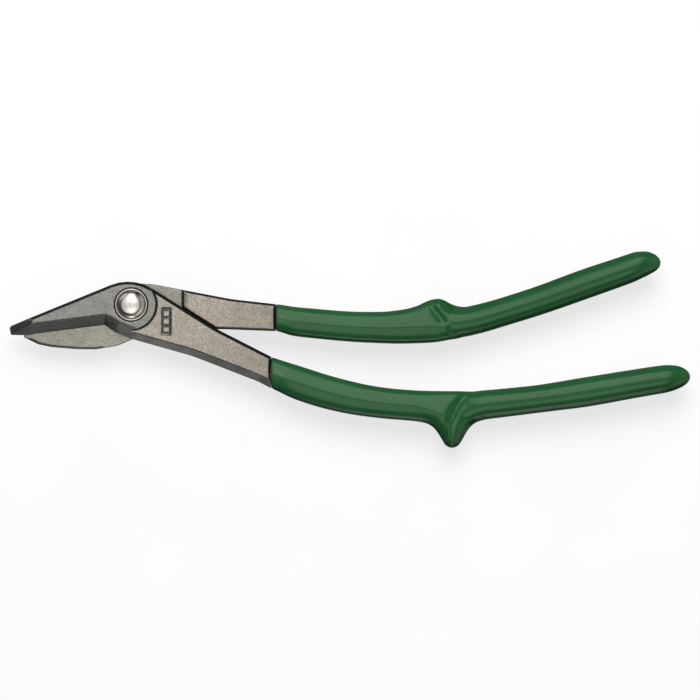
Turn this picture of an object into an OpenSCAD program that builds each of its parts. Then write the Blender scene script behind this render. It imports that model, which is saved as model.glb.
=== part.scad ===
// Offset sheet-metal snips: two forged levers that cross at one shouldered pivot bolt,
// each with a vinyl grip on its handle. The snips lie flat with the bolt head up.
// +X runs from the pivot to the handles, +Y towards the upper handle, +Z along the pivot.
// The origin is on the pivot axis, on the flat underside of the pivot nut.

/* [Pivot] */
// Radius of the bolt's domed head
head_r = 7.2; // [6.8:0.1:7.6]
// Height of the dome above its rim
dome_h = 3.2; // [2.6:0.1:3.6]
// Radius of the bolt's journal in the lower blade
journal_r = 4.2; // [4.1:0.05:4.4]
// Width across flats of the pivot nut
nut_af = 13; // [12:0.5:14]
// Height of the pivot nut
nut_h = 4; // [3.5:0.25:5]

/* [Levers] */
// Thickness of each blade at the pivot
lap_t = 6.5; // [6:0.25:7]
// Thickness of the handles
handle_t = 9; // [8.5:0.25:9.5]
// Radius of the raised pivot boss
boss_r = 10.8; // [10.2:0.1:11]
// Width of the ground bevel along each cutting edge
bevel_w = 4.7; // [4:0.1:5]

/* [Grips] */
// Thickness of the vinyl coat
coat = 1.1; // [0.9:0.05:1.3]
// Thickness of the grips
grip_t = 12.8; // [12:0.1:13.4]
// Height of the finger guard on the lower grip
guard_h = 12.4; // [8:0.1:13]
// Height of the thumb stop on the upper grip
stop_h = 5.4; // [3:0.1:7]

/* [Hidden] */
$fn = 96;

steel_color = [0.66, 0.62, 0.56];
bright_color = [0.80, 0.78, 0.75];
vinyl_color = [0.13, 0.36, 0.19];

// Pivot stack, upwards from the table
spring_h = 1;                   // disc spring, pressed nearly flat
spring_t = 0.6;
spring_r = 7.25;
washer_t = 1;
washer_r = 8;
washer_bore_r = 4.05;
thread_r = 3.95;                // M8, its helix left out
nut_bore_r = 3.98;
neck_w = 9;                     // square neck that keys the bolt to the upper lever
neck_play = 0.1;                // across the flats
journal_play = 0.05;            // all round
side_play = 0.05;               // between the washer and the lower lever
blade_gap = 0.05;               // between the two shear faces
rim_h = 0.8;                    // cylindrical rim under the dome
seat_depth = 0.5;               // the head's seat in the boss
seat_play = 0.3;
peen_h = 0.5;                   // the bolt's end, spread into the nut
peen_r = 4.45;
back_z = nut_h + spring_h + washer_t + side_play;
shear_z = back_z + lap_t;
upper_z = shear_z + blade_gap;
top_z = upper_z + lap_t;
mid_z = shear_z + blade_gap / 2;

// Lever outlines, each corner as [x, y, radius]
upper_outline = [[-53.9, -9.7, 1.5], [-53.2, -13.4, 0.6], [-48, -13.5, 10], [-11.8, -8.9, 2.2],
                 [-7.5, -12, 4], [0.8, -15.3, 20], [27, -22.7, 60], [56, -34, 8],
                 [61.5, -36.9, 0], [61.5, -23, 0], [37, -10.5, 60], [0.5, 12.5, 20]];
lower_outline = [[-48.5, -13.6, 0.5], [-12, -6.5, 1.5], [-11.2, 3, 6], [-1, 9.7, 8], [10, 8.9, 15],
                 [23, 6.4, 40], [44, 2.4, 60], [63.5, 0.2, 0], [63.5, -11.7, 0], [38, -10.7, 60],
                 [4, -13.6, 20], [-6, -17.9, 12], [-16, -20.3, 50], [-41.3, -18.2, 24]];
edge_land = 0.3;                // flat left at the foot of each bevel
nose_x = -43.5;                 // where the ground nose facet starts
nose_slope = 0.52;
spine_bevel = 1.2;
handle_bevel = 2.9;             // bevel along the handles' outer edges
shoulder_x = 22.5;              // where the handles step up to their full thickness
shoulder_gap = 0.3;             // closed, the handles stop this far apart
badge = [4.4, 12.4, 0.3];       // plain sunk panel
badge_at = [15.4, -7.5];

// Grips: centreline and half width as [x, value]
upper_mid = [[56, -5.3], [63.5, -5.7], [71, -7.3], [79, -8.2], [96, -9.7], [110, -10.2], [118, -10.1],
             [129, -9.6], [135, -9.3], [146, -7.9], [152, -6.7], [163, -3.4], [180, 2], [200, 9.2],
             [216, 14.7], [224, 17.5], [230, 18.5], [233, 18.5]];
upper_half = [[56, 6], [63.5, 6], [71, 6.5], [96, 6.7], [110, 6.9], [118, 7.2], [129, 7.4], [135, 7.2],
              [146, 6.4], [152, 6.3], [163, 6.3], [180, 6.4], [200, 6.6], [216, 6.4], [233, 6.1]];
lower_mid = [[54, -26.6], [61.5, -29.9], [73, -34.4], [90, -39.5], [107, -42.8], [124, -44.3],
             [142, -44.6], [154, -44.2], [169, -42.7], [180, -41.4], [200, -38.5], [220, -35.1],
             [231, -33.3], [240, -32.1], [246, -31.6]];
lower_half = [[54, 6.9], [61.5, 7], [73, 7.8], [90, 7.6], [107, 7], [124, 6.7], [142, 6.6],
              [169, 6.3], [180, 6.2], [200, 6.6], [220, 6.4], [246, 6.1]];
upper_mouth = 63.5;
upper_tip = 233;
lower_mouth = 61.5;
lower_tip = 246;
end_l = 14;                     // length of each rounded end
stop_x = 135;                   // peak of the thumb stop
guard_x = 141.5;                // peak of the finger guard
tang_lead = 7;                  // how far each tang starts inside its handle
tip_wall = 3;
section_n = 20;                 // points round a grip

// ---- outlines ----
function unit(v) = v / norm(v);
function corner(p, a, b, r) =
    r == 0 ? [p] :
    let (u = unit(a - p), v = unit(b - p), h = acos(u * v) / 2, c = p + unit(u + v) * r / sin(h),
         s = p + u * r / tan(h) - c, e = p + v * r / tan(h) - c, turn = cross(s, e) > 0 ? 1 : -1,
         sweep = 180 - 2 * h, n = max(2, ceil(sweep / 9)))
    [for (k = [0:n]) let (w = turn * sweep * k / n)
        c + [s.x * cos(w) - s.y * sin(w), s.x * sin(w) + s.y * cos(w)]];
function rounded(q) =
    let (n = len(q), at = function(i) [q[(i + n) % n].x, q[(i + n) % n].y])
    [for (i = [0:n - 1]) each corner(at(i), at(i - 1), at(i + 1), q[i][2])];

module prism(outline, z0, z1) {
    translate([0, 0, z0]) linear_extrude(z1 - z0) polygon(outline);
}
// Everything to the right of the line p to q and beyond a slope that runs from
// height z1 at the line to z0 at the distance w
module slope(p, q, w, z1, z0) {
    k = (z1 - z0) / 2;
    translate([p.x, p.y, 0]) rotate([0, 0, atan2(q.y - p.y, q.x - p.x)]) rotate([90, 0, 90])
        linear_extrude(norm(q - p))
            polygon([[w / 2, z1 + k], [-w * 1.5, z0 - k], [-w * 1.5 - 12, z0 - k], [-w * 1.5 - 12, z1 + k]]);
}

// ---- grips ----
function steepness(p, i) =
    let (a = max(i - 1, 0), b = min(i + 1, len(p) - 1)) (p[b].y - p[a].y) / (p[b].x - p[a].x);
function span_at(p, x, i = 0) = (i >= len(p) - 2 || x < p[i + 1].x) ? i : span_at(p, x, i + 1);
// Smooth curve through the points p, read at x
function curve(p, x) =
    let (i = span_at(p, x), w = p[i + 1].x - p[i].x, t = (x - p[i].x) / w)
    p[i].y * (1 + 2 * t) * pow(1 - t, 2) + p[i + 1].y * t * t * (3 - 2 * t)
    + w * steepness(p, i) * t * pow(1 - t, 2) - w * steepness(p, i + 1) * t * t * (1 - t);
// Bump of height 1 at x = 0, half as high at each side's own width
function bump(x, left, right, sharp) = 1 / (1 + pow(abs(x) / (x < 0 ? left : right), sharp));
function round_off(x, end, l) = x <= end - l ? 1 : sqrt(max(0, 1 - pow((x - end + l) / l, 2.4)));
function ease(x, x0, x1) = let (t = min(1, max(0, (x - x0) / (x1 - x0)))) t * t * (3 - 2 * t);
function bent(v, e) = sign(v) * pow(abs(v), e);
// Ring of points round the section at x, up and down being its half heights in Y
function ring(x, y, up, down, deep, square) =
    [for (k = [0:section_n - 1]) let (a = 360 * (k + 0.5) / section_n)
        [x, y + bent(cos(a), 2 / square) * (cos(a) > 0 ? up : down), mid_z + deep * bent(sin(a), 2 / square)]];
function squareness(x) = 3.4 - 1.2 * ease(x, 122, 158);
function half_deep(x, mouth) = grip_t / 2 - 0.5 * (1 - ease(x, mouth, mouth + 8)) - 0.4 * ease(x, 125, 160);
function outer_ring(x, mid, half, mouth, tip, up, down) =
    let (s = max(0.06, round_off(x, tip, end_l)), h = curve(half, x) * s)
    ring(x, curve(mid, x), h + up, h + down, half_deep(x, mouth) * s, squareness(x));
function inner_ring(x, mid, half, tip) =
    let (s = max(0.06, round_off(x, tip - tip_wall, end_l)), h = (curve(half, x) - coat) * s)
    ring(x, curve(mid, x), h, h, (handle_t / 2 - 0.3) * s, squareness(x));
// Stations from a to b: close together at a feature f and at the far end
function stations(a, b, f) =
    concat([a, a + 2, a + 5, a + 10], [for (x = [a + 16:8:f - 22]) x], [for (x = [f - 16:2:f + 16]) x],
           [for (x = [f + 23:8:b - end_l - 3]) x], [for (k = [0:9]) b - end_l * pow(1 - k / 9, 1.8)]);

function side_faces(n, rows, first) =
    [for (r = [0:rows - 2], k = [0:n - 1])
        let (a = first + r * n + k, b = first + r * n + (k + 1) % n) each [[a, b, b + n], [a, b + n, a + n]]];
function turned(faces) = [for (f = faces) [for (k = [len(f) - 1:-1:0]) f[k]]];
function cap(n, first) = [for (k = [0:n - 1]) first + k];
module loft(rings) {
    n = section_n;
    polyhedron(points = [for (r = rings) each r],
        faces = turned(concat(side_faces(n, len(rings), 0), [cap(n, (len(rings) - 1) * n)],
                              turned([cap(n, 0)]))));
}
module sleeve(outer, inner) {
    n = section_n;
    m = len(outer) * n;
    mouth = [for (k = [0:n - 1]) let (j = (k + 1) % n) each [[k, m + j, j], [k, m + k, m + j]]];
    polyhedron(points = concat([for (r = outer) each r], [for (r = inner) each r]),
        faces = turned(concat(side_faces(n, len(outer), 0), [cap(n, m - n)], mouth,
                              turned(side_faces(n, len(inner), m)), turned([cap(n, m + (len(inner) - 1) * n)]))));
}
function upper_inner(from) =
    [for (x = concat([from], stations(upper_mouth, upper_tip - tip_wall, stop_x)))
        inner_ring(x, upper_mid, upper_half, upper_tip)];
function lower_inner(from) =
    [for (x = concat([from], stations(lower_mouth, lower_tip - tip_wall, guard_x)))
        inner_ring(x, lower_mid, lower_half, lower_tip)];
function rest(list) = [for (i = [1:len(list) - 1]) list[i]];

// ---- parts ----
module upper_blade_lever() {
    outline = rounded(upper_outline);
    face_z = mid_z + handle_t / 2;
    low_z = mid_z - handle_t / 2;
    color(steel_color) difference() {
        union() {
            intersection() {
                prism(outline, upper_z, top_z);
                union() {
                    translate([-60, -30, upper_z]) cube([60, 60, lap_t]);
                    translate([0, 0, upper_z]) cylinder(r = boss_r, h = lap_t);
                    translate([-1, -45, upper_z]) cube([70, 70, face_z - upper_z]);
                }
            }
            // the handle's lower half, stepped down beside the other lever
            intersection() {
                prism(outline, low_z, upper_z + 1);
                prism([[24, -45], [24, -12.5], [38, -11.3], [62, -11.5], [62, -45]],
                      low_z, upper_z + 1);
            }
            loft(lower_inner(lower_mouth - tang_lead));
        }
        // ground cutting bevel, nose facet and choil
        slope([-60, -9.8], [-9.6, -4.5], bevel_w, top_z, upper_z + edge_land);
        translate([nose_x, 0, top_z]) rotate([0, -atan(nose_slope), 0]) translate([-40, -40, 0])
            cube([40, 80, 30]);
        slope([-11, -4.2], [3.4, -12.4], 4.4, top_z, top_z - 4.6);
        // bevels along the handle's lower edge
        slope([2, -11.6], [27.5, -19.6], handle_bevel, face_z, face_z - 2.6);
        slope([26.5, -19.2], [61.6, -33.4], handle_bevel, face_z, face_z - 2.6);
        slope([24, -18.2], [61.6, -33.4], handle_bevel, low_z, low_z + 2.6);
        // small bevels along the top edges
        slope([0, 11.1], [-60, -13.2], spine_bevel, top_z, top_z - spine_bevel);
        slope([37, -11.8], [7, 7.1], 1.2, face_z, face_z - 1.2);
        slope([62, -24.6], [36.4, -11.4], 1.2, face_z, face_z - 1.2);
        // square hole and head seat
        translate([-neck_w / 2, -neck_w / 2, upper_z - 1]) cube([neck_w, neck_w, lap_t + 2]);
        translate([0, 0, top_z - seat_depth]) cylinder(r = head_r + seat_play, h = 5);
        translate([badge_at.x - badge.x / 2, badge_at.y - badge.y / 2, face_z - badge.z])
            difference() {
                cube([badge.x, badge.y, 2]);
                for (k = [0:2]) translate([0.9, 1.6 + 3.5 * k, -1]) cube([badge.x - 1.8, 2.2, 4]);
            }
    }
}

module lower_blade_lever() {
    outline = rounded(lower_outline);
    face_z = mid_z + handle_t / 2;
    low_z = mid_z - handle_t / 2;
    color(steel_color) difference() {
        union() {
            intersection() {
                prism(outline, back_z, shear_z);
                union() {
                    translate([-60, -30, back_z]) cube([60, 60, lap_t]);
                    translate([0, 0, back_z]) cylinder(r = boss_r, h = lap_t);
                    translate([-1, -45, low_z]) cube([70, 70, shear_z - low_z]);
                }
            }
            // the handle's upper half, stopping short of the other lever's edge
            intersection() {
                prism(outline, shear_z - 1, face_z);
                translate([shoulder_x, -1.36 + shoulder_gap * 1.2, 0]) rotate([0, 0, -32.2])
                    translate([-20, 0, shear_z - 1]) cube([80, 40, 20]);
                translate([shoulder_x, -20, shear_z - 1]) cube([60, 40, 20]);
            }
            loft(upper_inner(upper_mouth - tang_lead));
        }
        // ground cutting bevel on the back
        slope([-11.1, -11.2], [-60, -20.7], bevel_w, back_z, shear_z - edge_land);
        translate([nose_x + 3, 0, back_z]) rotate([0, atan(nose_slope), 0]) translate([-40, -40, -30])
            cube([40, 80, 30]);
        // bevels along the outer edges
        slope([-52, -11.8], [-40.4, -17.6], 0.9, shear_z, shear_z - 0.9);
        slope([-42, -17.2], [-14, -19.6], 0.9, shear_z, shear_z - 0.9);
        slope([64, -0.7], [23, 5.5], 0.9, face_z, face_z - 1.2);
        slope([23, -9.9], [64, -11.1], 0.7, face_z, face_z - 1.2);
        slope([64, -2.4], [12, 6.2], 2.4, low_z, low_z + 2.2);
        cylinder(r = journal_r + journal_play, h = 40);
    }
}

module lower_grip() {
    color(vinyl_color) sleeve(
        [for (x = stations(lower_mouth, lower_tip, guard_x))
            outer_ring(x, lower_mid, lower_half, lower_mouth, lower_tip, 0,
                       guard_h * bump(x - guard_x, 6.2, 5.9, 3.4))],
        rest(lower_inner(0)));
}
module upper_grip() {
    color(vinyl_color) sleeve(
        [for (x = stations(upper_mouth, upper_tip, stop_x))
            outer_ring(x, upper_mid, upper_half, upper_mouth, upper_tip,
                       stop_h * bump(x - stop_x, 7.5, 6, 2.4), 0)],
        rest(upper_inner(0)));
}

module pivot_bolt() {
    seat_z = top_z - seat_depth;
    dome_r = (pow(head_r - 0.5, 2) + pow(dome_h, 2)) / (2 * dome_h);
    color(bright_color) {
        translate([0, 0, peen_h / 2]) cylinder(r = thread_r, h = back_z);
        cylinder(r1 = peen_r, r2 = thread_r, h = peen_h);
        translate([0, 0, back_z - side_play]) cylinder(r = journal_r, h = lap_t + side_play + blade_gap);
        translate([-neck_w / 2 + neck_play / 2, -neck_w / 2 + neck_play / 2, upper_z])
            cube([neck_w - neck_play, neck_w - neck_play, seat_z - upper_z]);
        translate([0, 0, seat_z]) cylinder(r = head_r, h = rim_h);
        intersection() {
            translate([0, 0, seat_z + rim_h + dome_h - dome_r]) sphere(r = dome_r);
            translate([0, 0, seat_z]) cylinder(r = head_r - 0.5, h = 20);
        }
    }
}
module thrust_washer() {
    color(bright_color) translate([0, 0, nut_h + spring_h]) difference() {
        cylinder(r = washer_r, h = washer_t);
        translate([0, 0, -1]) cylinder(r = washer_bore_r, h = washer_t + 2);
    }
}
module disc_spring() {
    color(bright_color) translate([0, 0, nut_h]) rotate_extrude()
        polygon([[thread_r + 0.1, 0], [spring_r, spring_h - spring_t], [spring_r, spring_h],
                 [thread_r + 0.1, spring_t]]);
}
module pivot_nut() {
    color(bright_color) difference() {
        intersection() {
            cylinder(d = nut_af / cos(30), h = nut_h, $fn = 6);
            union() {
                cylinder(r1 = nut_af / 2 - 0.1, r2 = nut_af / 2 + 1.6, h = 0.9);
                translate([0, 0, 0.9]) cylinder(r = nut_af, h = nut_h - 1.8);
                translate([0, 0, nut_h - 0.9]) cylinder(r1 = nut_af / 2 + 1.6, r2 = nut_af / 2 - 0.1, h = 0.9);
            }
        }
        translate([0, 0, -1]) cylinder(r = nut_bore_r, h = nut_h + 2);
        translate([0, 0, -0.001]) cylinder(r1 = peen_r, r2 = thread_r, h = peen_h);
    }
}

upper_blade_lever();
lower_blade_lever();
lower_grip();
upper_grip();
pivot_bolt();
thrust_washer();
disc_spring();
pivot_nut();
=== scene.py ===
"""The snips' looks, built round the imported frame.

Forged, ground and dipped pieces are fields (negative inside) turned into meshes, so that their
edges are as soft as the real ones. Turned pieces are lathed. Lengths are in millimetres, in the
CAD's frame, and become metres where a mesh is made.
"""
import math

import bpy
import numpy as np
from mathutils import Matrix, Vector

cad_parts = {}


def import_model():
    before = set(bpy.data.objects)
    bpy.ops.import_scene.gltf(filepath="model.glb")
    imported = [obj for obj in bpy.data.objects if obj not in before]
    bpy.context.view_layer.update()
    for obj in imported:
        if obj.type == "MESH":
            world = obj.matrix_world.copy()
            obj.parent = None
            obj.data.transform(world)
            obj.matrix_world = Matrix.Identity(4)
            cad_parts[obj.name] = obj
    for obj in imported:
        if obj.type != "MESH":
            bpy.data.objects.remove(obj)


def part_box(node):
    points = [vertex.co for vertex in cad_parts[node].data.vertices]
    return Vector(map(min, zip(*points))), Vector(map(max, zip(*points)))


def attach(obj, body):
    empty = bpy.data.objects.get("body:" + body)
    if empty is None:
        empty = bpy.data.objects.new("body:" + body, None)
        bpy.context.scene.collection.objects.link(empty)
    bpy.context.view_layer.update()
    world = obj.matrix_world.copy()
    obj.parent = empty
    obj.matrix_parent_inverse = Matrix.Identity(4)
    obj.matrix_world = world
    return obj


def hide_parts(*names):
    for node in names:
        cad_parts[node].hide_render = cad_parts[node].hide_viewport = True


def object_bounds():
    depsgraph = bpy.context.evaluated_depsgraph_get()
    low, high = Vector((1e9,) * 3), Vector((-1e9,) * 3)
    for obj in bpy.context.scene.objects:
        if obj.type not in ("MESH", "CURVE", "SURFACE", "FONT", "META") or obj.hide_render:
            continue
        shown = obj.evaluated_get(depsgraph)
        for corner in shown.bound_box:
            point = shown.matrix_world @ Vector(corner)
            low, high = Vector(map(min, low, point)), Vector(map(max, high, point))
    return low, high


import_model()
cad_lo, cad_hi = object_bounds()
MM = 0.001                                  # metres in a millimetre


def box(node):
    """The CAD node's lowest and highest corner in millimetres."""
    lo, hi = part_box(node)
    return np.array(lo) / MM, np.array(hi) / MM


# Heights, from the CAD nodes
TOP = box("upper_blade_lever")[1][2]        # blade and boss face of the upper lever
BACK = box("lower_blade_lever")[0][2]       # the lower lever's back face
FACE = box("lower_blade_lever")[1][2]       # front face of both handles
LOW = box("upper_blade_lever")[0][2]        # back face of both handles
MID = (FACE + LOW) / 2                      # the blades meet here
SHEAR_GAP = 0.025                           # from there to each lever's shear face
UPPER_Z = MID + SHEAR_GAP
LOWER_Z = MID - SHEAR_GAP

# Lever outlines, each corner as (x, y, radius)
UPPER = [(-53.9, -9.7, 1.5), (-53.2, -13.4, 0.6), (-48, -13.5, 10), (-11.8, -8.9, 2.2),
         (-7.5, -12, 4), (0.8, -15.3, 20), (27, -22.7, 60), (56, -34, 8),
         (61.5, -36.9, 0), (61.5, -23, 0), (37, -10.5, 60), (0.5, 12.5, 20)]
LOWER = [(-48.5, -13.6, 0.5), (-12, -6.5, 1.5), (-11.2, 3, 6), (-1, 9.7, 8), (10, 8.9, 15),
         (23, 6.4, 40), (44, 2.4, 60), (63.5, 0.2, 0), (63.5, -11.7, 0), (38, -10.7, 60),
         (4, -13.6, 20), (-6, -17.9, 12), (-16, -20.3, 50), (-41.3, -18.2, 24)]
BOSS_R = 10.8                               # the raised boss round the pivot
SEAT_R = 7.5                                # the shallow seat of the bolt's head
SEAT_DEPTH = 0.5
BORE_R = 4.25                               # the lower lever's bore
NUT_HIGH = box("pivot_nut")[1]              # the nut's highest corner
NECK = 9.0                                  # side of the upper lever's square hole
NOSE_X = -43.5                              # the nose slopes down from here
SHOULDER_X = 22.5                           # the step where the lower lever's lap ends
PANEL = (15.4, -7.5)                        # centre of the plain sunk panel
PANEL_HALF = (2.2, 6.2)
PANEL_DEPTH = 0.32
SOFT, SHARP = 0.3, 0.15                     # rounding of forged and of machined edges
CHAMFER = -1.05                             # slope of the forgings' chamfered edges
WALL = 0.8                                  # width of the soft wall round a raised face

# Grips: centreline and half width as (x, value)
UPPER_MID = [(50, -5), (56, -5.3), (63.5, -5.7), (71, -7.3), (79, -8.2), (96, -9.7), (110, -10.2),
             (118, -10.1), (129, -9.6), (135, -9.3), (146, -7.9), (152, -6.7), (163, -3.4), (180, 2),
             (200, 9.2), (216, 14.7), (224, 17.5), (230, 18.5), (233, 18.5)]
UPPER_HALF = [(50, 6), (56, 6), (63.5, 6), (71, 6.5), (96, 6.7), (110, 6.9), (118, 7.2), (129, 7.4),
              (135, 7.2), (146, 6.4), (152, 6.3), (163, 6.3), (180, 6.4), (200, 6.6), (216, 6.4),
              (233, 6.1)]
LOWER_MID = [(48, -24), (54, -26.6), (61.5, -29.9), (73, -34.4), (90, -39.5), (107, -42.8),
             (124, -44.3), (142, -44.6), (154, -44.2), (169, -42.7), (180, -41.4), (200, -38.5),
             (220, -35.1), (231, -33.3), (240, -32.1), (246, -31.6)]
LOWER_HALF = [(48, 6.8), (54, 6.9), (61.5, 7), (73, 7.8), (90, 7.6), (107, 7), (124, 6.7), (142, 6.6),
              (169, 6.3), (180, 6.2), (200, 6.6), (220, 6.4), (246, 6.1)]
UPPER_HANDLE = (UPPER_MID, UPPER_HALF, 63.5, 233)   # centreline, half width, mouth and tip
LOWER_HANDLE = (LOWER_MID, LOWER_HALF, 61.5, 246)
END_L = 14.0                                # length of a grip's rounded end
COAT = 1.1                                  # thickness of the vinyl at the sides
CORE_DEPTH = 3.7                            # half depth of a grip's hollow
CORE_PLAY = 0.1                             # between the hollow and the tang in it
ROD_DEPTH = 6.0                             # half depth of a grip's round rear part
GUARD_X, STOP_X = 141.5, 135                # the lower grip's guard and the upper grip's stop
LOWER_VALLEY = (142.5, -45.6, 0.903, -0.43)     # a point of the fold beside it, and across the fold
UPPER_VALLEY = (135.7, -5.4, 0.79, 0.61)


# ---- fields ----
def smin(a, b, k):
    """Union of two fields, blended over k."""
    h = np.clip(0.5 + 0.5 * (b - a) / k, 0, 1)
    return b + (a - b) * h - k * h * (1 - h)


def smax(a, b, k):
    """What two fields share, blended over k."""
    return -smin(-a, -b, k)


def ease(x, a, b):
    """0 up to a and 1 from b, with a smooth rise between."""
    t = np.clip((x - a) / (b - a), 0, 1)
    return t * t * (3 - 2 * t)


def rounded(corners):
    """The closed outline with each corner turned to an arc."""
    pts, n = [], len(corners)
    p = [np.array(c[:2], float) for c in corners]
    for i, (_, _, r) in enumerate(corners):
        if not r:
            pts.append(p[i])
            continue
        u, v = p[i - 1] - p[i], p[(i + 1) % n] - p[i]
        u, v = u / np.linalg.norm(u), v / np.linalg.norm(v)
        half = math.acos(float(u @ v)) / 2
        centre = p[i] + (u + v) / np.linalg.norm(u + v) * r / math.sin(half)
        start = p[i] + u * r / math.tan(half) - centre
        turn = math.copysign(math.pi - 2 * half, u[1] * v[0] - u[0] * v[1])
        for w in np.linspace(0, turn, max(3, int(abs(turn) / 0.14))):
            c, s = math.cos(w), math.sin(w)
            pts.append(centre + [start[0] * c - start[1] * s, start[0] * s + start[1] * c])
    return np.array(pts)


def to_path(x, y, path):
    """Distance to an open path."""
    best = np.full(np.broadcast(x, y).shape, 1e9, np.float32)
    for (ax, ay), (bx, by) in zip(path[:-1], path[1:]):
        dx, dy = bx - ax, by - ay
        t = np.clip(((x - ax) * dx + (y - ay) * dy) / (dx * dx + dy * dy), 0, 1)
        best = np.minimum(best, np.hypot(x - ax - t * dx, y - ay - t * dy))
    return best


def to_outline(x, y, path):
    """Signed distance to a closed outline, negative inside."""
    inside = np.zeros(np.broadcast(x, y).shape, bool)
    for (ax, ay), (bx, by) in zip(path, np.roll(path, -1, 0)):
        if ay != by:
            inside ^= ((ay > y) != (by > y)) & (x < (bx - ax) * (y - ay) / (by - ay) + ax)
    return np.where(inside, -1, 1) * to_path(x, y, np.vstack([path, path[:1]]))


def side(x, y, a, b):
    """Distance to the left of the line from a to b."""
    dx, dy = b[0] - a[0], b[1] - a[1]
    return ((y - a[1]) * dx - (x - a[0]) * dy) / math.hypot(dx, dy)


def curve(points, x):
    """Smooth curve through the points, read at x."""
    px, py = np.array(points, float).T
    m = np.empty_like(py)
    m[1:-1] = (py[2:] - py[:-2]) / (px[2:] - px[:-2])
    m[0], m[-1] = (py[1] - py[0]) / (px[1] - px[0]), (py[-1] - py[-2]) / (px[-1] - px[-2])
    i = np.clip(np.searchsorted(px, x, "right") - 1, 0, len(px) - 2)
    w = px[i + 1] - px[i]
    t = np.clip((x - px[i]) / w, 0, 1)
    return (py[i] * (1 + 2 * t) * (1 - t) ** 2 + py[i + 1] * t * t * (3 - 2 * t)
            + w * m[i] * t * (1 - t) ** 2 - w * m[i + 1] * t * t * (1 - t))


def plane(z, level, slope, run):
    """Distance above a plane that climbs from level by slope along run."""
    return (z - level - slope * run) / np.sqrt(1 + slope * slope)


def wall(inside, width):
    """1 inside and 0 outside, with a soft wall of that width centred on the border."""
    return ease(-inside, -width / 2, width / 2)


def hollow(solid, cut, k):
    """The solid less the cut, blended over k."""
    return smax(solid, -cut, k)


def squared(q, w, n, end):
    """Field of a bar with a superelliptic section, in shares of its depth: q and w are the shares of
    its half width and half depth, n is its squareness, and end closes it."""
    return np.sqrt((q ** n + w ** n) ** (2 / n) + end) - 1


def end_of(x, tip):
    """0 along a handle, growing over its rounded end."""
    return np.clip((x - tip + END_L) / END_L, 0, None) ** 2.4


# ---- levers ----
def corner_at(path, corner):
    """Index of the path's point nearest to the corner."""
    return int(np.argmin(np.hypot(path[:, 0] - corner[0], path[:, 1] - corner[1])))


UPPER_PATH = rounded(UPPER)
LOWER_PATH = rounded(LOWER)
# The upper lever's lower edge, from the cutting edge's tip to under the grip
UPPER_EDGE = np.vstack([[-60, -14.2], UPPER_PATH[corner_at(UPPER_PATH, UPPER[1]) + 2:
                                                corner_at(UPPER_PATH, UPPER[8]) + 1], [68, -40]])


def core(x, y, z, handle, play=0.0):
    """A grip's hollow, or with play the tang in it, in shares of its depth."""
    mid, half, _, tip = handle
    q = np.abs(y - curve(mid, x)) / (curve(half, x) - COAT - play)
    w = np.abs(z - MID) / (CORE_DEPTH - play)
    return squared(q, w, 3.4 - 1.2 * ease(x, 122, 158), end_of(x, tip - 3))


def tang(x, y, z, handle):
    """The part of a handle inside its grip. It starts 7 mm before the mouth, inside the forging."""
    start = handle[2] - 7
    return smax(core(x, y, z, handle, CORE_PLAY) * 4.5, start - x, 0.3)


def sunk_panel(x, y, z):
    """A plain sunk panel with three plain bars standing in it."""
    u, v = np.abs(x - PANEL[0]), y - PANEL[1]
    rim = smax(u - PANEL_HALF[0], np.abs(v) - PANEL_HALF[1], 0.5)
    pitch = 3.5
    bars = np.maximum(u - 1.3, np.abs((v + pitch / 2) % pitch - pitch / 2) - 1.1)
    bars = np.maximum(bars, np.abs(v) - 5.0)
    return np.maximum(np.maximum(rim, -bars * 0.8), FACE - PANEL_DEPTH - z)


def raised(x, y, low, high):
    """Height of a face that is high on the blade and the boss and low on the handle."""
    return low + (high - low) * wall(smin(x, np.hypot(x, y) - BOSS_R - 0.2, 0.3), WALL)


def upper_lever(x, y, z):
    """The upper blade, the boss and the lower handle."""
    out = to_outline(x, y, UPPER_PATH)
    edge = to_path(x, y, UPPER_EDGE)
    level = raised(x, y, FACE, TOP)
    s = ease(x, -13, -5)                    # 0 along the blade's bevel, 1 along the handle's band
    foot, slope = 12.9 + 1.5 * s, 1.32 - 0.4 * s
    top = smax(z - level, plane(z, foot, slope, edge), 0.35)
    top = smax(top, plane(z, TOP, 0.56, x - NOSE_X), SOFT)
    top = smax(top, plane(z, level, CHAMFER, out + 1.25), SOFT)
    under = 2 * MID - z                     # the handle's back mirrors its front
    back = smax(LOW - z, plane(under, 14.4, 0.92, edge), 0.35)
    back = smax(back, plane(under, FACE, CHAMFER, out + 1.25), SOFT)
    handle = smax(24 - x, y + 12.5 - 0.086 * (x - 24), 0.4)
    body = smax(smax(out, top, SOFT), smin(UPPER_Z - z, smax(handle, back, SOFT), SOFT), 0.2)
    body = hollow(body, np.maximum(np.hypot(x, y) - SEAT_R, TOP - SEAT_DEPTH - z), SHARP)
    body = hollow(body, np.maximum(np.abs(x), np.abs(y)) - NECK / 2, SHARP)
    body = hollow(body, sunk_panel(x, y, z), SHARP)
    return smin(body, tang(x, y, z, LOWER_HANDLE), 0.4)


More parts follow.
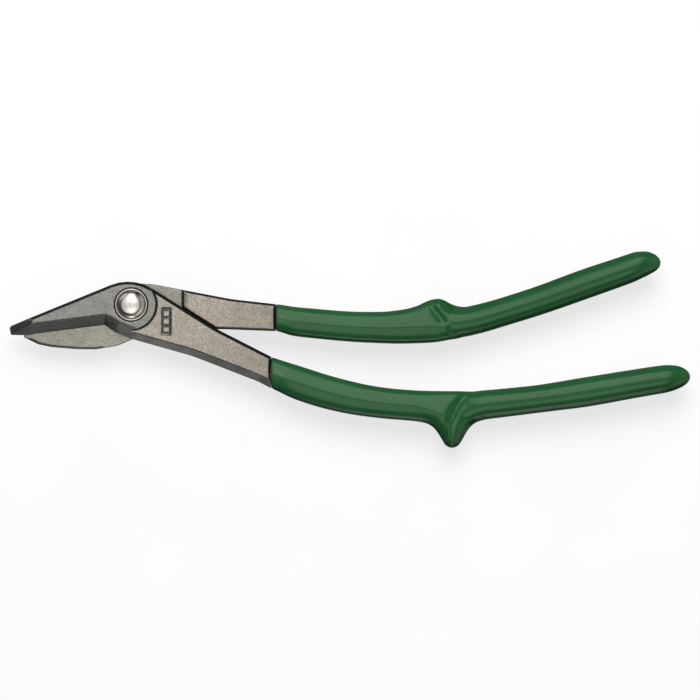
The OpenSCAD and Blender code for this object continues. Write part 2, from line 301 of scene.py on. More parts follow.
def lower_lever(x, y, z):
    """The lower blade and the upper handle, which stands up as a block behind the lap."""
    out = to_outline(x, y, LOWER_PATH)
    block = smax(SHOULDER_X - x, (13.165 - 0.63 * x - y) / 1.182, 0.5)
    block = smax(block, smax(z - FACE, plane(z, FACE, -0.35, SHOULDER_X + 1.6 - x), 0.8), 1.0)
    block = smax(block, plane(z, FACE, -1.1, out + 0.95), SOFT)
    off = 2 * ease(x, -14, -10) + 2 * ease(y - 0.195 * x, -6.5, -5)     # only the outer edge is chamfered
    blade = smax(z - LOWER_Z, plane(z, LOWER_Z, -1, out + 0.9 - off), 0.2)
    level = raised(x, y, LOW, BACK)
    cut = side(x, y, (-12, -6.5), (-48.5, -13.6)) + 40 * ease(x, -14, -5)
    back = smax(level - z, plane(-z, 0.3 - LOWER_Z, 1.32, cut), 0.35)
    back = smax(back, plane(-z, -BACK, 0.52, x + 40.5), SOFT)
    back = smax(back, plane(-z, -level, CHAMFER, out + 1.2 + 1.1 * ease(x, 8, 20)), SOFT)
    body = smax(smax(out, smin(blade, block, 0.6), SOFT), back, 0.2)
    body = hollow(body, np.hypot(x, y) - BORE_R, SHARP)
    return smin(body, tang(x, y, z, UPPER_HANDLE), 0.4)


# ---- grips ----
def bump(x, left, right, sharp):
    """1 at x = 0 and a half at left before it and right after it."""
    return 1 / (1 + (np.abs(x) / np.where(x < 0, left, right)) ** sharp)


def along(x, y, route):
    """Smallest distance to the route over its radius there. The route is (x, y, radius) points."""
    best = np.full(np.broadcast(x, y).shape, 1e9)
    for (ax, ay, ar), (bx, by, br) in zip(route[:-1], route[1:]):
        dx, dy = bx - ax, by - ay
        t = np.clip(((x - ax) * dx + (y - ay) * dy) / (dx * dx + dy * dy), 0, 1)
        best = np.minimum(best, np.hypot(x - ax - t * dx, y - ay - t * dy) / (ar + t * (br - ar)))
    return best


def rod_route(start, x0, handle):
    """The rod's route: its given start, then the grip's centreline from x0 to past the tip."""
    mid, half, _, tip = handle
    xs = np.append(np.arange(x0, tip - 6, 5.0), [tip - 5, tip + 8])
    return start + [(x, float(curve(mid, min(x, tip))), float(curve(half, x))) for x in xs]


LOWER_ROD = rod_route([(141.1, -59.2, 3.9), (141.7, -54.6, 5.0), (142.6, -50.6, 6.0), (145, -47.2, 6.6),
                       (149.5, -45.2, 6.7)], 155, LOWER_HANDLE)
UPPER_ROD = rod_route([(135.0, -1.8, 4.4), (136.2, -4.2, 5.6), (139, -7, 6.4), (143, -8.2, 6.6)],
                      148, UPPER_HANDLE)


def from_valley(x, y, valley):
    """Distance past the valley, and distance along it from its point."""
    px, py, across_x, across_y = valley
    return ((x - px) * across_x + (y - py) * across_y,
            (y - py) * across_x - (x - px) * across_y)


def grip(x, y, z, handle, rod, rise, crest, bulge, fold):
    """A vinyl sleeve: a flat bar with a low crest, run into a round rod that turns into the stop.
    rise is the rod's extra height, crest is how far the crest lies from the centreline, and bulge is
    how far the bar swells up and down. fold is the distance past the valley between bar and rod, the
    distance along it, and how much softer they meet."""
    mid, half, mouth, tip = handle
    up, down = bulge
    valley, s, soft = fold
    c, h = curve(mid, x), curve(half, x)
    end = end_of(x, tip)
    past = ease(valley, -2.5, 5)
    lift = 0.5 * (1 - ease(x, mouth, mouth + 8))
    deep = (6.4 - lift) * (1 - 0.42 * past)
    roof = 1 + 0.16 * np.minimum(np.abs(y - c - crest) / h, 1.2)
    q = np.where(y > c, (y - c) / (h + up), (c - y) / (h + down)) * (1 + 0.05 * past)
    n = 3.3 - 0.7 * past - np.where(y < c, 1.3 * down / (down + 6), 0)
    bar = squared(q, np.abs(z - MID) * roof / deep, n, end) * deep
    round_rod = squared(along(x, y, rod), np.abs(z - MID) / (ROD_DEPTH + rise), 2.2, end) * ROD_DEPTH
    solid = smin(bar, round_rod, 1.4 - 1.1 * past + soft) + 0.08
    groove = np.exp(-(valley / np.where(valley < 0, 2.6, 1.5)) ** 2)
    solid = solid + 0.7 * groove * (1 - ease(np.abs(s + 0.8), 1.5, 8.5))
    solid = smax(solid, mouth - x, 1.1)
    inside = core(x, y, z, handle) * CORE_DEPTH
    return hollow(solid, np.maximum(inside, solid + 0.4), SHARP)


def lower_grip(x, y, z):
    """The lower handle's grip, with the finger guard below."""
    crest = -4.6 * ease(x, 118, 141) ** 1.6 * (1 - ease(x, 146, 166))
    guard = 12.4 * bump(x - GUARD_X, 6.2, 5.9, 3.4)
    below = ease(-y, 45, 60)
    rise = 0.35 * below - 0.6 * ease(-y, 38, 45) * (1 - below) * (1 - ease(x, 146, 154))
    fold = (*from_valley(x, y, LOWER_VALLEY), 0)
    return grip(x, y, z, LOWER_HANDLE, LOWER_ROD, rise, crest, (0, guard), fold)


def upper_grip(x, y, z):
    """The upper handle's grip, with the thumb stop on top."""
    stop = 5.4 * bump(x - STOP_X, 7.5, 6, 2.4)
    rise = -0.9 * ease(y, -9, 1) * (1 - ease(x, 138, 146))
    valley, s = from_valley(x, y, UPPER_VALLEY)
    soft = 0.9 * ease(-s, 2, 5) * (1 - ease(-s, 6, 10))
    fold = (valley, s * np.where(s < 0, 1.9, 1), soft)
    return grip(x, y, z, UPPER_HANDLE, UPPER_ROD, rise, 0, (stop, 0), fold)


# ---- meshes ----
CORNERS = [(i, j, k) for i in (0, 1) for j in (0, 1) for k in (0, 1)]   # of a grid cell


def steps(*stops):
    """Grid lines from (start, cell), (next, cell) ... to the last stop."""
    return np.concatenate([np.arange(a, b, cell) for (a, cell), (b, _) in zip(stops, stops[1:])]
                          + [[stops[-1][0]]])


def slope_of(field, v, h=0.02):
    """The field at the points v, and its gradient."""
    f = field(*v.T)
    return f, np.stack([(field(*(v + h * a).T) - f) / h for a in np.eye(3)], 1)


def crossings(f, cells):
    """For each cell, the mean place where its edges cross the surface, in grid steps."""
    total, hits = np.zeros((len(cells), 3)), np.zeros(len(cells))
    for a in CORNERS:
        for axis in range(3):
            if a[axis]:
                continue
            b = list(a)
            b[axis] = 1
            fa, fb = f[tuple((cells + a).T)], f[tuple((cells + b).T)]
            cut = (fa < 0) != (fb < 0)
            t = fa[cut] / (fa[cut] - fb[cut])
            total[cut] += np.array(a) + t[:, None] * (np.array(b) - a)
            hits[cut] += 1
    return cells + total / hits[:, None]


def settled(field, verts):
    """The points moved onto the surface, in short steps."""
    for _ in range(3):
        value, slope = slope_of(field, verts)
        move = value[:, None] * slope / np.maximum((slope ** 2).sum(1), 0.05)[:, None]
        size = np.linalg.norm(move, axis=1)[:, None]
        verts = verts - move * np.minimum(1, 0.15 / np.maximum(size, 1e-9))
    return verts


def quads_between(solid, index):
    """A quad round each grid edge that crosses the surface, facing outwards."""
    quads = []
    for axis in range(3):
        u, w = np.eye(3, dtype=int)[[(axis + 1) % 3, (axis + 2) % 3]]
        near = tuple(slice(None, -1) if a == axis else slice(1, -1) for a in range(3))
        far = tuple(slice(1, None) if a == axis else slice(1, -1) for a in range(3))
        e = np.argwhere(solid[near] != solid[far]) + u + w
        ring = np.stack([index[tuple((e - s).T)] for s in (u + w, w, 0 * u, u)], 1)
        inward = ~solid[tuple(e.T)]
        ring[inward] = ring[inward][:, ::-1]
        quads.append(ring)
    return np.vstack(quads).tolist()


def surface(field, xs, ys, zs):
    """Vertices and quads of the surface where the field is 0, on a grid with those lines."""
    n = [len(xs), len(ys), len(zs)]
    f = np.broadcast_to(field(xs[:, None, None], ys[None, :, None], zs[None, None, :]), n)
    f = f.astype(np.float32)
    solid = f < 0
    count = sum(solid[i:n[0] - 1 + i, j:n[1] - 1 + j, k:n[2] - 1 + k].astype(np.int8)
                for i, j, k in CORNERS)
    cells = np.argwhere((count > 0) & (count < 8))
    index = np.full([m - 1 for m in n], -1)
    index[tuple(cells.T)] = np.arange(len(cells))
    at = crossings(f, cells)
    lines = [np.asarray(line, float) for line in (xs, ys, zs)]
    verts = np.stack([np.interp(at[:, i], np.arange(n[i]), lines[i]) for i in range(3)], 1)
    return settled(field, verts), quads_between(solid, index)


def bend_of(field, v, h=0.45):
    """How sharply the surface bends at the points v: above 0 on an edge, below 0 in a corner."""
    value, slope = slope_of(field, v)
    around = sum(field(*(v + s * h * a).T) for a in np.eye(3) for s in (1, -1))
    return (around - 6 * value) / (h * np.maximum(np.linalg.norm(slope, axis=1), 0.2))


def piece(node, body, shell, materials, paint=None, bend=None):
    """One object in place of the CAD node, from a shell: vertices in millimetres and faces. paint picks
    each face's material from the faces' centres and normals. bend is kept for rubbed edges and painted
    corner shade."""
    verts, faces = shell
    name = "snips_" + node
    mesh = bpy.data.meshes.new(name)
    mesh.from_pydata((verts * MM).tolist(), [], faces)
    mesh.update()
    for m in materials:
        mesh.materials.append(m)
    if paint:
        centre, normal = (np.zeros(len(mesh.polygons) * 3) for _ in range(2))
        mesh.polygons.foreach_get("center", centre)
        mesh.polygons.foreach_get("normal", normal)
        picked = paint(centre.reshape(-1, 3) / MM, normal.reshape(-1, 3))
        mesh.polygons.foreach_set("material_index", picked.astype(np.int32))
    if bend is not None:
        attribute = mesh.attributes.new("bend", "FLOAT", "POINT")
        attribute.data.foreach_set("value", bend.astype(np.float32))
    mesh.shade_smooth()
    obj = bpy.data.objects.new(name, mesh)
    bpy.context.scene.collection.objects.link(obj)
    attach(obj, body)
    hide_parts(node)


def lathe(profile, segments=128, closed=False):
    """A turned shell from (radius, z) points, outwards and upwards. A point with a third value lies on
    a square of that half width instead. A closed profile makes a ring; an open one starts and ends on
    the axis."""
    angle = np.linspace(0, 2 * math.pi, segments, endpoint=False)
    square = 1 / np.maximum(np.abs(np.cos(angle)), np.abs(np.sin(angle)))
    inner = profile if closed else profile[1:-1]
    verts = []
    for p in inner:
        r = p[0] * (square if len(p) > 2 else 1)
        verts += zip(r * np.cos(angle), r * np.sin(angle), np.full(segments, p[1]))
    rows = len(inner)
    faces = [[k * segments + i, k * segments + (i + 1) % segments,
              (k + 1) % rows * segments + (i + 1) % segments, (k + 1) % rows * segments + i]
             for k in range(rows if closed else rows - 1) for i in range(segments)]
    if not closed:
        verts += [(0, 0, profile[0][1]), (0, 0, profile[-1][1])]
        last = (rows - 1) * segments
        faces += [[rows * segments, (i + 1) % segments, i] for i in range(segments)]
        faces += [[rows * segments + 1, last + i, last + (i + 1) % segments] for i in range(segments)]
    return np.array(verts), faces


# ---- materials ----
def material(name):
    """A new node material: (material, nodes, link function, Principled node, object coordinates)."""
    mat = bpy.data.materials.new(name)
    mat.use_nodes = True
    nodes, links = mat.node_tree.nodes, mat.node_tree.links
    place = nodes.new("ShaderNodeTexCoord").outputs["Object"]
    return mat, nodes, links.new, nodes["Principled BSDF"], place


def noise(nodes, link, place, size_mm, detail=2.0, stretch=None):
    """Noise whose grains are about size_mm across; stretch scales the coordinates first."""
    if stretch:
        mapping = nodes.new("ShaderNodeMapping")
        mapping.inputs["Rotation"].default_value = (0, 0, math.radians(stretch[0]))
        mapping.inputs["Scale"].default_value = stretch[1:]
        link(place, mapping.inputs["Vector"])
        place = mapping.outputs["Vector"]
    node = nodes.new("ShaderNodeTexNoise")
    node.inputs["Scale"].default_value = 1 / (size_mm * MM)
    node.inputs["Detail"].default_value = detail
    link(place, node.inputs["Vector"])
    return node.outputs["Fac"]


def ramp(nodes, link, value, *stops):
    """Maps value through stops of (position, colour or grey)."""
    node = nodes.new("ShaderNodeValToRGB")
    elements = node.color_ramp.elements
    elements.remove(elements[1])
    for i, (at, colour) in enumerate(stops):
        element = elements.new(at) if i else elements[0]
        element.position = at
        element.color = (*(colour if isinstance(colour, tuple) else (colour,) * 3), 1)
    link(value, node.inputs["Fac"])
    return node.outputs["Color"]


def spread(nodes, link, value, lo, hi, from_lo=0.3, from_hi=0.7):
    """value carried from the range from_lo to from_hi into lo to hi."""
    node = nodes.new("ShaderNodeMapRange")
    for name, v in zip(("From Min", "From Max", "To Min", "To Max"), (from_lo, from_hi, lo, hi)):
        node.inputs[name].default_value = v
    link(value, node.inputs["Value"])
    return node.outputs["Result"]


def mix(nodes, link, factor, a, b, mode="MIX"):
    """Colour a blended with colour b. Each value is a colour, a number or a socket."""
    node = nodes.new("ShaderNodeMix")
    node.data_type = "RGBA"
    node.blend_type = mode
    colour_a, colour_b, result = node.inputs[6], node.inputs[7], node.outputs[2]
    for socket, value in ((node.inputs["Factor"], factor), (colour_a, a), (colour_b, b)):
        if isinstance(value, tuple):
            socket.default_value = (*value, 1)
        elif isinstance(value, (int, float)):
            socket.default_value = value
        else:
            link(value, socket)
    return result


def bumped(nodes, link, *layers):
    """Bump nodes in a row, each from (height, strength, distance in mm)."""
    normal = None
    for height, strength, distance in layers:
        node = nodes.new("ShaderNodeBump")
        node.inputs["Strength"].default_value = strength
        node.inputs["Distance"].default_value = distance * MM
        link(height, node.inputs["Height"])
        if normal:
            link(normal, node.inputs["Normal"])
        normal = node.outputs["Normal"]
    return normal


WORN_COLOUR = (0.74, 0.71, 0.66)
# Painted shade: the colour that the steels' inner corners are darkened towards.
CORNER_SHADE_COLOUR = (0.05, 0.045, 0.04)


def steel(name, dark, light, rough, lines=None, wear_and_shade=0.3, specks=(0.7, 1.24)):
    """Satin steel with a fine grain, cloudy mottling, bright rubbed edges and painted shade in inner
    corners.
    lines is (angle, length over width, strength) of grinding lines; specks is the grain's contrast."""
    mat, nodes, link, out, place = material(name)
    out.inputs["Metallic"].default_value = 1
    cloud = noise(nodes, link, place, 9, 3)
    fine = noise(nodes, link, place, 0.75, 3)
    colour = ramp(nodes, link, cloud, (0.3, dark), (0.7, light))
    shade = spread(nodes, link, fine, *specks)
    colour = mix(nodes, link, 1.0, colour, shade, "MULTIPLY")
    layers = [(fine, 0.5, 0.05), (cloud, 0.15, 0.25)]
    roughness = spread(nodes, link, noise(nodes, link, place, 2.5, 4), rough - 0.06, rough + 0.07)
    if lines:
        angle, length, strength = lines
        scratch = noise(nodes, link, place, 0.28, 2, (angle, 1 / length, 1, 1 / length))
        colour = mix(nodes, link, 1.0, colour, spread(nodes, link, scratch, 0.82, 1.14), "MULTIPLY")
        layers.append((scratch, strength, 0.04))
    # wear_and_shade sets the rubbed edges' strength; at 0 the painted corner shade is left out too.
    if wear_and_shade:
        bend = nodes.new("ShaderNodeAttribute")
        bend.attribute_name = "bend"
        edge = spread(nodes, link, bend.outputs["Fac"], 0, wear_and_shade, 0.6, 1.6)
        colour = mix(nodes, link, edge, colour, WORN_COLOUR)
        # Painted shade: inner corners, where bend is below 0, are darkened towards the shade colour.
        dark_shade = spread(nodes, link, bend.outputs["Fac"], 0.88, 0, -1.0, -0.2)
        colour = mix(nodes, link, dark_shade, colour, CORNER_SHADE_COLOUR)
    link(colour, out.inputs["Base Color"])
    link(roughness, out.inputs["Roughness"])
    link(bumped(nodes, link, *layers), out.inputs["Normal"])
    return mat


def turned_steel(name, colour, rough, rings):
    """Turned steel with faint rings of tool marks round the pivot. rings is their spacing in
    millimetres over 2 pi."""
    mat, nodes, link, out, place = material(name)
    out.inputs["Metallic"].default_value = 1
    wave = nodes.new("ShaderNodeTexWave")
    wave.wave_type = "RINGS"
    wave.rings_direction = "Z"
    wave.inputs["Scale"].default_value = 1 / (20 * rings * MM)      # its phase is 20 x scale x radius
    wave.inputs["Distortion"].default_value = 0.6
    wave.inputs["Detail"].default_value = 2
    wave.inputs["Detail Scale"].default_value = 3
    link(place, wave.inputs["Vector"])
    cloud = noise(nodes, link, place, 2.2, 4)
    pits = noise(nodes, link, place, 0.7, 2)
    base = ramp(nodes, link, cloud, (0.3, tuple(0.82 * c for c in colour)), (0.7, colour))
    link(base, out.inputs["Base Color"])
    link(spread(nodes, link, cloud, rough - 0.04, rough + 0.08), out.inputs["Roughness"])
    link(bumped(nodes, link, (wave.outputs["Fac"], 0.06, 0.02), (pits, 0.12, 0.03), (cloud, 0.25, 0.12)),
         out.inputs["Normal"])
    return mat


def vinyl():
    """Dipped green vinyl: glossy, slightly uneven in colour and surface."""
    mat, nodes, link, out, place = material("green_vinyl")
    cloud = noise(nodes, link, place, 30, 2)
    colour = ramp(nodes, link, cloud, (0.3, (0.012, 0.083, 0.025)), (0.7, (0.016, 0.099, 0.031)))
    specks = noise(nodes, link, place, 0.5, 2)
    pale = spread(nodes, link, specks, 0, 0.12, 0.6, 0.75)
    colour = mix(nodes, link, pale, colour, (0.06, 0.16, 0.07))
    link(colour, out.inputs["Base Color"])
    out.inputs["IOR"].default_value = 1.58
    out.inputs["Specular Tint"].default_value = (0.92, 1, 0.8, 1)
    link(spread(nodes, link, noise(nodes, link, place, 6, 4), 0.085, 0.14), out.inputs["Roughness"])
    peel = noise(nodes, link, place, 3.2, 2)
    runs = noise(nodes, link, place, 14, 1)
    layers = (runs, 0.2, 0.2), (peel, 0.10, 0.05), (specks, 0.05, 0.02)
    link(bumped(nodes, link, *layers), out.inputs["Normal"])
    return mat


def floor_material():
    """A pale matt floor with a faint glow, so that it stays near white between soft shadows."""
    mat, nodes, link, out, place = material("floor")
    cloud = noise(nodes, link, place, 60, 2)
    link(ramp(nodes, link, cloud, (0.3, 0.25), (0.7, 0.27)), out.inputs["Base Color"])
    out.inputs["Emission Color"].default_value = (1, 1, 1, 1)
    out.inputs["Emission Strength"].default_value = 0.735
    out.inputs["Roughness"].default_value = 0.9
    out.inputs["Specular IOR Level"].default_value = 0.1
    return mat


# ---- pieces ----
# SHADED_BEVEL and SHADED_BAND are darker copies of the steel, painted shade on tilted faces; PAINTED_SHADE
# is painted shade in lines, gaps and corners.
FORGED, GROUND, SHADED_BEVEL, PAINTED_SHADE, SHADED_BAND = range(5)    # the order of a lever's materials


def facing(n):
    """Which faces lie flat, and which are tilted but not upright."""
    rise = np.abs(n[:, 2])
    return rise > 0.93, (rise > 0.3) & (rise <= 0.93)


def upper_paint(c, n):
    """Material of each of the upper lever's faces, from its centre and normal."""
    x, y, z = c.T
    radius = np.hypot(x, y)
    flat, tilted = facing(n)
    edge = to_path(x, y, UPPER_EDGE)
    blade = (z > TOP - 0.15) & flat
    nose = (x < NOSE_X) & (n[:, 0] < -0.3)
    shear = (np.abs(z - UPPER_Z) < 0.1) & flat
    # Painted shade: a thin dark line on the flat front face, 3.1 mm in from the lower edge.
    crease = (np.abs(edge - 3.1) < 0.24) & (x > 1) & (z > MID) & flat
    beside, above = np.abs(x - PANEL[0]) - PANEL_HALF[0], np.abs(y - PANEL[1]) - PANEL_HALF[1]
    panel = (np.maximum(beside, above) < 0.1) & (z < FACE - 0.12) & (z > MID)
    # Painted shade: the faces in the head's seat, as the dark gap round the bolt's head, and a line round
    # the boss's foot on its right side.
    seat = (radius < SEAT_R + 0.1) & (radius > NECK * 0.6) & (z < TOP - 0.1) & (z > TOP - 0.7)
    foot = (np.abs(radius - BOSS_R - 0.4) < 0.36) & (x > 0) & (z > FACE - 0.1) & (z < TOP - 0.25)
    # Painted shade: tilted faces and the sunk panel take darker steel, the band's near the handle's lower
    # edge and the bevel's elsewhere.
    slope = np.where((x > -10.5) & (edge < 6), SHADED_BAND, SHADED_BEVEL)
    return np.select([seat | foot | crease, blade | shear | nose, tilted | panel],
                     [PAINTED_SHADE, GROUND, slope], FORGED)


def lower_paint(c, n):
    """Material of each of the lower lever's faces, from its centre and normal."""
    x, _, z = c.T
    flat, tilted = facing(n)
    # Besides the real ground shear face, the lap mask takes the flat faces just past the shoulder: painted
    # light, the ground steel there stands for the band of light after the step.
    lap = ((np.abs(z - LOWER_Z) < 0.15) | (x > SHOULDER_X) & (x < 25) & (z > MID)) & flat
    blade = (z < BACK + 0.15) & flat
    # Painted shade: a dark line at the shoulder's step, and darker steel on tilted faces.
    step = (np.abs(x - SHOULDER_X - 0.05) < 0.62) & (z > LOWER_Z - 0.05) & (z < FACE - 0.1)
    return np.select([step | tilted, lap | blade], [SHADED_BEVEL, GROUND], FORGED)


def lever(node, body, field, ys, handle, materials, paint):
    """A forged lever, on a grid that is fine up to its grip."""
    xs = steps((-55.2, 0.34), (68, 1.2), (handle[3] + 2, 0))
    shell = surface(field, xs, ys, steps((4.8, 0.34), (20, 0)))
    piece(node, body, shell, materials, paint, bend_of(field, shell[0]))


def lever_pieces():
    """Both levers. The ground steel differs: the rear blade is a little paler and warmer."""
    forged = steel("forged_steel", (0.54, 0.485, 0.415), (0.65, 0.585, 0.505), 0.50)
    front = steel("ground_front", (0.31, 0.312, 0.28), (0.37, 0.37, 0.335), 0.40, (12, 14, 0.25),
                  specks=(0.8, 1.16))
    rear = steel("ground_rear", (0.38, 0.365, 0.312), (0.455, 0.435, 0.372), 0.42, (12, 14, 0.25),
                 specks=(0.78, 1.18))
    # Painted shade: the bevel, band and shade steels are darker copies that stand for shade. The bevel's
    # grinding lines are real.
    bevel = steel("bevel_painted_shade", (0.12, 0.12, 0.116), (0.155, 0.154, 0.147), 0.36, (100, 16, 0.4), 0.06)
    band = steel("forged_band_painted_shade", (0.33, 0.325, 0.305), (0.42, 0.41, 0.385), 0.42, wear_and_shade=0.06)
    dark_shade = steel("painted_shade_steel", (0.075, 0.072, 0.066), (0.12, 0.115, 0.105), 0.6, wear_and_shade=0)
    lever("upper_blade_lever", "upper_blade", upper_lever, steps((-52, 0.34), (14, 0)), LOWER_HANDLE,
          [forged, front, bevel, dark_shade, band], upper_paint)
    lever("lower_blade_lever", "lower_blade", lower_lever, steps((-22, 0.34), (26, 0)), UPPER_HANDLE,
          [forged, rear, bevel, dark_shade, band], lower_paint)


def grip_piece(node, body, field, ys, handle, green):
    """A grip, on a grid that is finer at its mouth, its stop and its tip."""
    mouth, tip = handle[2:]
    xs = steps((mouth - 1, 0.45), (mouth + 4, 0.9), (120, 0.5), (155, 0.9), (tip - 16, 0.5), (tip + 1, 0))
    piece(node, body, surface(field, xs, ys, steps((5.4, 0.45), (20, 0))), [green])


def grip_pieces():
    """Both grips, in one vinyl."""
    green = vinyl()
    grip_piece("lower_grip", "upper_blade", lower_grip, steps((-65, 0.45), (-20, 0)), LOWER_HANDLE, green)
    grip_piece("upper_grip", "lower_blade", upper_grip, steps((-20, 0.45), (26.5, 0)), UPPER_HANDLE, green)


def arc(r, z, radius, start, end, count=5):
    """Points of a corner's arc round (r, z), from one angle to the other in degrees."""
    return [(r + radius * math.cos(math.radians(a)), z + radius * math.sin(math.radians(a)))
            for a in np.linspace(start, end, count)]


def head_paint(c, n):
    """1 in the groove between the head's rim and dome, which is painted dark as shade."""
    radius = np.hypot(c[:, 0], c[:, 1])
    return ((np.abs(radius - 6.4) < 0.1) & (c[:, 2] > TOP - SEAT_DEPTH)).astype(int)


def bolt_profile():
    """The bolt from its lower end up: thread, journal, square neck, the head's rim, groove and dome."""
    seat, peak = TOP - SEAT_DEPTH, box("pivot_bolt")[1][2]
    foot = seat + 0.8
    dome = [(6.3 * math.sin(a) ** 0.83, foot + (peak - foot) * math.cos(a) ** 0.83)
            for a in np.linspace(1.555, 0, 36)]
    thread = [(0, 0.35), (0.7, 0.3), (1.2, 0.02), *arc(4.25, 0.2, 0.2, -90, 0), (3.95, 0.55), (3.95, 6)]
    journal = [(4.2, 6), (4.2, LOWER_Z + 0.02)]
    neck = [(4.3, UPPER_Z, 1), (4.45, UPPER_Z + 0.2, 1), (4.45, seat, 1)]
    rim = [*arc(6.8, seat + 0.22, 0.2, -90, 0), *arc(6.8, seat + 0.66, 0.2, 0, 90),
           *arc(6.64, seat + 0.72, 0.14, 90, 180)]
    groove = [(6.47, seat + 0.45), (6.32, seat + 0.45)]
    return [*thread, *journal, *neck, *rim, *groove, *dome[:-1], (0, peak)]


def washer_profile():
    """The thrust washer's section, with rounded edges."""
    lo, hi = box("thrust_washer")
    return [*arc(4.2, lo[2] + 0.15, 0.15, -180, -90, 4), *arc(7.8, lo[2] + 0.2, 0.2, -90, 0),
            *arc(7.8, hi[2] - 0.2, 0.2, 0, 90), *arc(4.2, hi[2] - 0.15, 0.15, 90, 180, 4)]


def spring_profile():
    """The disc spring's section: a thin cone that rises outwards."""
    lo, hi = box("disc_spring")
    low, top = lo[2], hi[2]
    return [(4.1, low + 0.02), (4.4, low + 0.05), (7.1, low + 0.44), (7.22, low + 0.5), (7.24, top - 0.1),
            (7.12, top - 0.02), (6.9, top - 0.03), (4.2, low + 0.62), (4.1, low + 0.55)]


def nut(x, y, z):
    """A thin hexagon nut with chamfered corners and a countersunk hole."""
    flat, top = NUT_HIGH[1:]
    across = np.maximum(np.abs(y + x * math.sqrt(3)), np.abs(y - x * math.sqrt(3))) / 2
    out = np.maximum(np.abs(y), across) - flat
    radius = np.hypot(x, y)
    body = smax(out, smax(z - top, -z, 0.2), 0.25)
    body = smax(body, (radius - flat - 0.1 + 1.9 * (np.abs(z - top / 2) - top / 2)) / 2.15, 0.2)
    body = hollow(body, radius - 4.0, SHARP)
    return hollow(body, (radius - 4.5 + z) / 1.4, SHARP)


def pivot_pieces():
    """The bolt and the washers and nut that hold it."""
    bright = turned_steel("polished_steel", (0.97, 0.91, 0.84), 0.16, 0.5)
    # Painted shade: a near-black steel for the groove round the head's dome.
    groove = turned_steel("painted_shade_groove", (0.05, 0.048, 0.045), 0.5, 0.35)
    plain = turned_steel("plain_steel", (0.50, 0.485, 0.46), 0.38, 0.35)
    piece("pivot_bolt", "upper_blade", lathe(bolt_profile(), 160), [bright, groove],
          head_paint)
    for node, section in (("thrust_washer", washer_profile()), ("disc_spring", spring_profile())):
        piece(node, "upper_blade", lathe(section, 128, True), [plain])
    grid = steps((-8, 0.16), (8, 0)), steps((-7.2, 0.16), (7.2, 0)), steps((-0.5, 0.16), (4.6, 0))
    piece("pivot_nut", "upper_blade", surface(nut, *grid), [plain])


# ---- stage ----
# Brightness round the X axis: (degrees from straight up towards +Y, value)
STRIPS = ((-180, 0.12), (-116, 0.14), (-108, 0.2), (-99, 0.95), (-70, 1.1), (-64, 0.09), (-36, 0.09),
          (-29, 0.85), (-13, 0.78), (-5, 0.36), (-1.5, 0.26), (1.5, 0.26), (4, 0.36), (11, 1.2),
          (54, 1.3), (62, 0.14), (100, 0.12), (130, 0.14), (180, 0.12))
# Brightness along the X axis: (X of the direction, value)
FALL = ((-1, 0.05), (-0.62, 0.05), (-0.32, 0.25), (-0.1, 1), (0.18, 1), (0.34, 0.14), (0.66, 0.16),
        (0.76, 0.34), (1, 0.34))
CORNER_LIGHT = (0.62, 0.61, 0.60)
DIFFUSE_LIGHT = (0.22, 0.22, 0.22)
BACKDROP = (0.97, 0.97, 0.97)
FLOOR_HALF = 1.5                            # metres


def maths(nodes, link, operation, *values):
    """A Math node's result."""
    node = nodes.new("ShaderNodeMath")
    node.operation = operation
    for socket, value in zip(node.inputs, values):
        link(value, socket)
    return node.outputs[0]


def by_range(nodes, link, value, reach, stops):
    """value, which lies between -reach and reach, taken through (place, grey) stops."""
    share = spread(nodes, link, value, 0, 1, -reach, reach)
    return ramp(nodes, link, share, *(((at + reach) / (2 * reach), grey) for at, grey in stops))


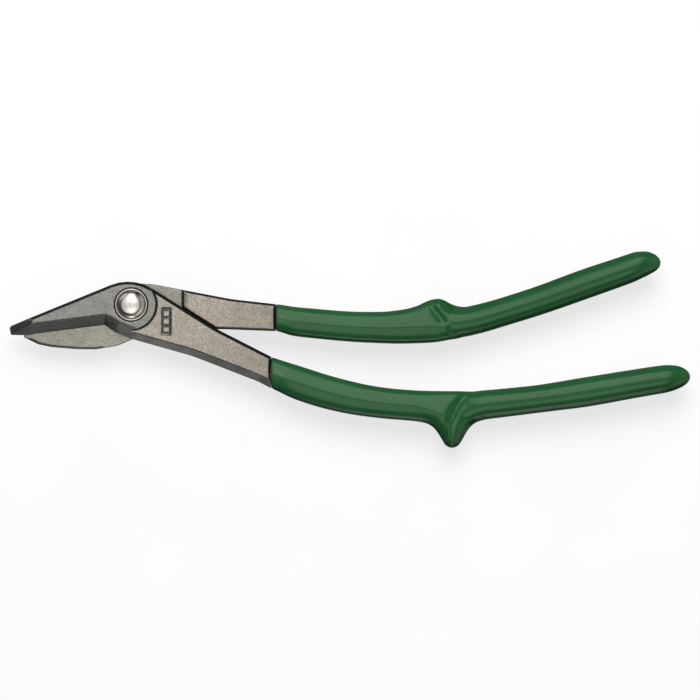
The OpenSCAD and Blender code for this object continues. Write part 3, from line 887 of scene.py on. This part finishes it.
def world():
    """Soft studio light by direction. Lengthwise strips light the steel and vinyl: a wide bright one
    beyond the upper side, dimmer ones above and beside the lower side, and dark gaps between. They
    fade towards the object's ends, where an even tone takes over, and two corners have a soft light
    of their own. Matt surfaces see an even grey, and the camera sees a plain pale backdrop."""
    w = bpy.data.worlds.new("studio")
    bpy.context.scene.world = w
    w.use_nodes = True
    nodes, link = w.node_tree.nodes, w.node_tree.links.new
    axes = nodes.new("ShaderNodeSeparateXYZ")
    link(nodes.new("ShaderNodeTexCoord").outputs["Generated"], axes.inputs[0])
    x, y, z = (axes.outputs[axis] for axis in "XYZ")
    turn = maths(nodes, link, "ARCTAN2", y, z)
    tone = by_range(nodes, link, turn, math.pi, [(math.radians(at), grey) for at, grey in STRIPS])
    fall = by_range(nodes, link, x, 1, FALL)
    tone = mix(nodes, link, 1.0, tone, fall, "MULTIPLY")
    ends = spread(nodes, link, maths(nodes, link, "ABSOLUTE", x), 0, 1, 0.5, 0.75)
    tone = mix(nodes, link, ends, tone, fall)
    cross = maths(nodes, link, "MULTIPLY", x, y)
    corner = maths(nodes, link, "MULTIPLY", spread(nodes, link, cross, 0, 1, -0.22, -0.38),
                   spread(nodes, link, z, 0, 1, 0.06, 0.22))
    tone = mix(nodes, link, corner, tone, CORNER_LIGHT)
    path = nodes.new("ShaderNodeLightPath")
    tone = mix(nodes, link, path.outputs["Is Diffuse Ray"], tone, DIFFUSE_LIGHT)
    tone = mix(nodes, link, path.outputs["Is Camera Ray"], tone, BACKDROP)
    link(tone, nodes["Background"].inputs["Color"])
    w.cycles.sampling_method = "NONE"


def lamp(name, size, energy, over, distance, lean, glossy=True, diffuse=True):
    """A round softbox at that distance from a point of the floor, leant towards +Y."""
    light = bpy.data.lights.new(name, "AREA")
    light.shape = "DISK"
    light.size = size
    light.energy = energy
    obj = bpy.data.objects.new(name, light)
    lean = math.radians(lean)
    obj.location = (over[0], over[1] + distance * math.sin(lean), distance * math.cos(lean))
    obj.rotation_euler = (-lean, 0, 0)
    obj.visible_camera = False
    obj.visible_glossy = glossy
    obj.visible_diffuse = diffuse
    bpy.context.scene.collection.objects.link(obj)


def floor(centre):
    """A square floor. Reflections and bounced light leave it out, so it doesn't light the lower edges."""
    square = ((-1, -1), (1, -1), (1, 1), (-1, 1))
    mesh = bpy.data.meshes.new("floor")
    mesh.from_pydata([(centre.x + a * FLOOR_HALF, centre.y + b * FLOOR_HALF, 0) for a, b in square],
                     [], [(0, 1, 2, 3)])
    mesh.materials.append(floor_material())
    obj = bpy.data.objects.new("floor", mesh)
    obj.visible_glossy = False
    obj.visible_diffuse = False
    bpy.context.scene.collection.objects.link(obj)


def stage():
    """The floor, a large key light and a small light that shows only in reflections, over the bolt."""
    centre = (cad_lo + cad_hi) / 2
    floor(centre)
    lamp("key", 1.4, 34.5, (centre.x, centre.y), 1.8, 35, glossy=False)
    lamp("head_light", 0.15, 0.028, (-0.012, 0.002), 0.115, 0, diffuse=False)


def camera():
    """Straight above the object's middle, at a long lens, with the object filling 97% of the frame."""
    centre = (cad_lo + cad_hi) / 2
    data = bpy.data.cameras.new("camera")
    data.lens, data.sensor_width = 250, 36
    data.dof.use_dof = False
    data.clip_end = 20
    width = 1.029 * (cad_hi.x - cad_lo.x)
    cam = bpy.data.objects.new("camera", data)
    cam.location = (centre.x, centre.y, MID * MM + width * data.lens / data.sensor_width)
    bpy.context.scene.collection.objects.link(cam)
    bpy.context.scene.camera = cam


lever_pieces()
grip_pieces()
pivot_pieces()
world()
stage()
camera()
bpy.context.scene.view_settings.view_transform = "Standard"
